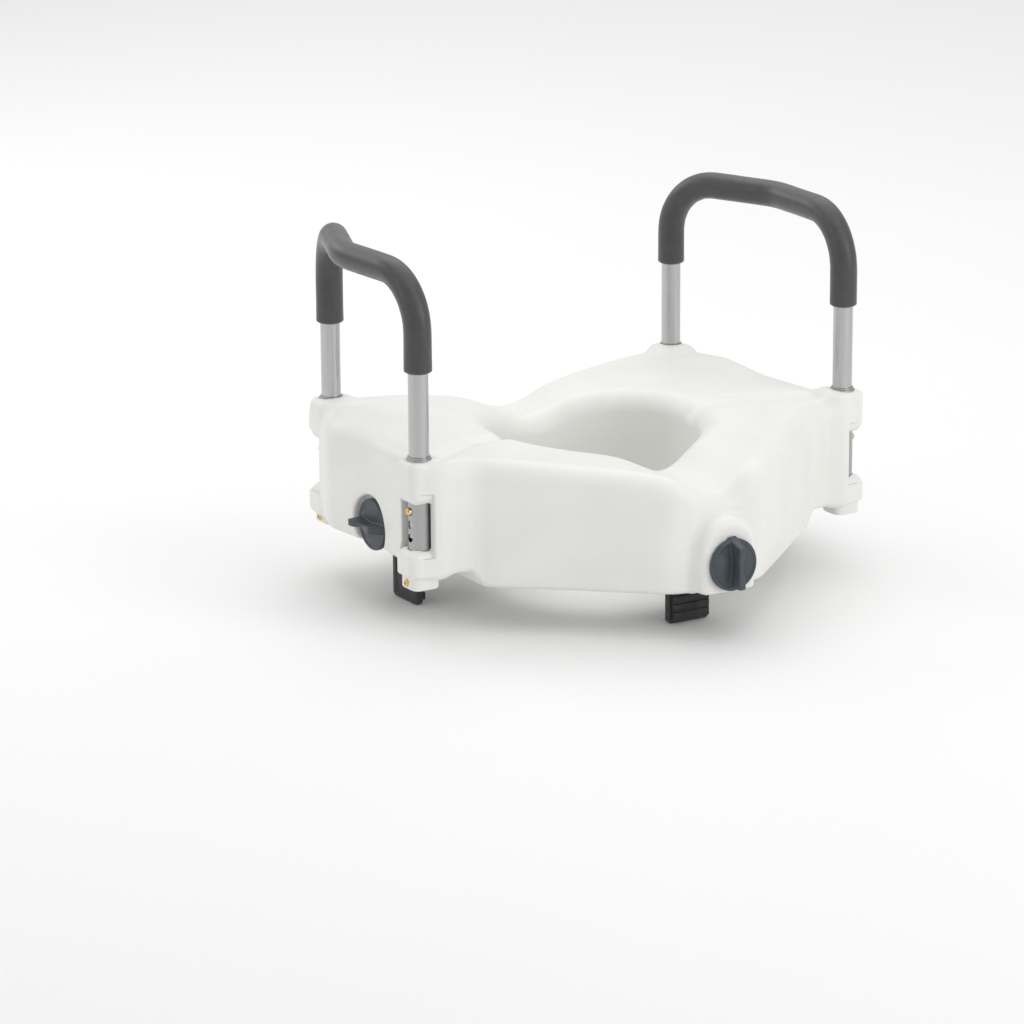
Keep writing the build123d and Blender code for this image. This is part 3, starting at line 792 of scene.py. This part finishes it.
def make_grip(name, side):
    """The foam: thinner on the outside of each bend, faintly wrinkled inside it, with soft ends."""
    line, marks = arm_line(side, *GRIP_LOW[name])
    tangent = np.gradient(line, marks, axis=0)
    tangent /= np.linalg.norm(tangent, axis=1)[:, None]
    bend = np.gradient(tangent, marks, axis=0)
    kernel = np.hanning(9)
    bend = np.stack([np.convolve(bend[:, a], kernel / kernel.sum(), "same") for a in range(3)], 1)
    across = np.empty_like(line)
    across[0] = (side, 0, 0)
    for row in range(1, len(line)):
        flat = across[row - 1] - (across[row - 1] @ tangent[row]) * tangent[row]
        across[row] = flat / np.linalg.norm(flat)
    beside = np.cross(tangent, across)
    total = marks[-1]
    angle = np.linspace(0, 2 * math.pi, GRIP_AROUND, endpoint=False)[None, :]
    inward = across[:, None] * np.cos(angle)[..., None] + beside[:, None] * np.sin(angle)[..., None]
    towards = np.einsum("ijk,ik->ij", inward, bend) * 50
    from_end = np.minimum(marks, total - marks)[:, None]
    wrinkle = np.sin(marks[:, None] / 2.9 + 1.7 * np.sin(angle + marks[:, None] / 40))
    radius = GRIP_R - 0.25 + 0.25 * np.exp(-from_end / 6)
    radius = radius + 0.10 * wrinkle * np.clip(towards, 0, 1) ** 2 - 0.25 * np.clip(-towards, 0, 1)
    radius = radius + 0.10 * np.sin(marks[:, None] / 17 + side) * np.sin(angle * 2 + marks[:, None] / 31)
    lip = np.clip(END_ROUND - from_end, 0, END_ROUND)
    radius = radius - (END_ROUND - np.sqrt(END_ROUND ** 2 - lip ** 2))
    points = line[:, None] + inward * radius[..., None]
    start = line[:BORE_ROWS, None] + inward[:BORE_ROWS] * TUBE_R
    end = line[-BORE_ROWS:, None] + inward[-BORE_ROWS:] * TUBE_R
    rings = np.concatenate([start[::-1], points, end[::-1]])
    index = np.arange(len(rings) * GRIP_AROUND).reshape(len(rings), GRIP_AROUND)
    beside_index = np.roll(index, -1, axis=1)
    faces = np.stack([index[:-1], beside_index[:-1], beside_index[1:], index[1:]], -1).reshape(-1, 4)
    made = piece(f"foam_grip_{name}", rings.reshape(-1, 3), faces.tolist(), f"arm_{name}", "grip_foam")
    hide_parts(f"grip_{name}")


for name, side in SIDES.items():
    make_grip(name, side)


# ---- stage ----
def make_floor():
    low = cad_bounds[0][2] - 0.0005
    reach = 12.0
    corners = [(-reach, -reach, low), (reach, -reach, low), (reach, reach, low), (-reach, reach, low)]
    mesh = bpy.data.meshes.new("floor")
    mesh.from_pydata(corners, [], [(0, 1, 2, 3)])
    look = Shader("floor", (0.9, 0.9, 0.9), 0.8)
    look.vary_colour(look.noise(1.5, 3), [(0.3, (0.895, 0.895, 0.895)), (0.7, (0.905, 0.905, 0.903))])
    mesh.materials.append(look.material)
    floor = bpy.data.objects.new("floor", mesh)
    bpy.context.scene.collection.objects.link(floor)


def softbox(name, place, aim, size, power, colour=(1, 1, 1)):
    light = bpy.data.lights.new(name, "AREA")
    light.shape = "RECTANGLE"
    light.size, light.size_y = size
    light.energy = power
    light.color = colour
    lamp = bpy.data.objects.new(name, light)
    bpy.context.scene.collection.objects.link(lamp)
    lamp.location = place
    lamp.rotation_euler = (Vector(aim) - Vector(place)).to_track_quat("-Z", "Y").to_euler()


AZIMUTH, ELEVATION, ROLL = (math.radians(v) for v in (31.352, 15.908, -0.362))
DISTANCE = 4.5647        # from the sockets' level, midway between the four posts
ASIDE, UP = 0.0553, 0.1115
LENS = 165.37


def make_camera():
    back = np.array((-math.sin(AZIMUTH) * math.cos(ELEVATION),
                     -math.cos(AZIMUTH) * math.cos(ELEVATION), math.sin(ELEVATION)))
    level = np.array((math.cos(AZIMUTH), -math.sin(AZIMUTH), 0))
    upright = np.cross(back, level)
    right = math.cos(ROLL) * level + math.sin(ROLL) * upright
    up = -math.sin(ROLL) * level + math.cos(ROLL) * upright
    data = bpy.data.cameras.new("camera")
    data.lens = LENS
    data.sensor_width = 36.0
    camera = bpy.data.objects.new("camera", data)
    bpy.context.scene.collection.objects.link(camera)
    place = back * DISTANCE - right * ASIDE - up * UP + np.array((0, 0, DECK * MM))
    camera.matrix_world = Matrix.Translation(Vector(place)) @ Matrix(
        [[right[i], up[i], back[i]] for i in range(3)]).to_4x4()
    bpy.context.scene.camera = camera


def make_light():
    world = bpy.data.worlds.new("studio")
    world.use_nodes = True
    world.node_tree.nodes["Background"].inputs["Color"].default_value = (1.0, 1.0, 1.0, 1)
    world.node_tree.nodes["Background"].inputs["Strength"].default_value = 0.56
    bpy.context.scene.world = world
    aim = (0, -0.05, 0.1)
    softbox("overhead", (0.2, 0.2, 2.4), aim, (2.8, 2.4), 17)
    softbox("front", (0.25, -2.0, 2.5), aim, (2.4, 1.8), 10)
    softbox("key", (1.2, -2.6, 1.3), aim, (1.3, 1.6), 20)
    softbox("side", (-2.5, 0.3, 1.0), aim, (0.35, 2.0), 5)
    softbox("rim", (-1.0, 2.2, 1.3), aim, (1.6, 0.8), 9)
    softbox("backdrop", (1.3, 2.6, 3.0), (1.3, 2.6, 0), (4.5, 3.0), 45)
    settings = bpy.context.scene.view_settings
    settings.view_transform = "Standard"
    settings.look = "None"
    settings.exposure = 0.0


make_floor()
make_camera()
make_light()
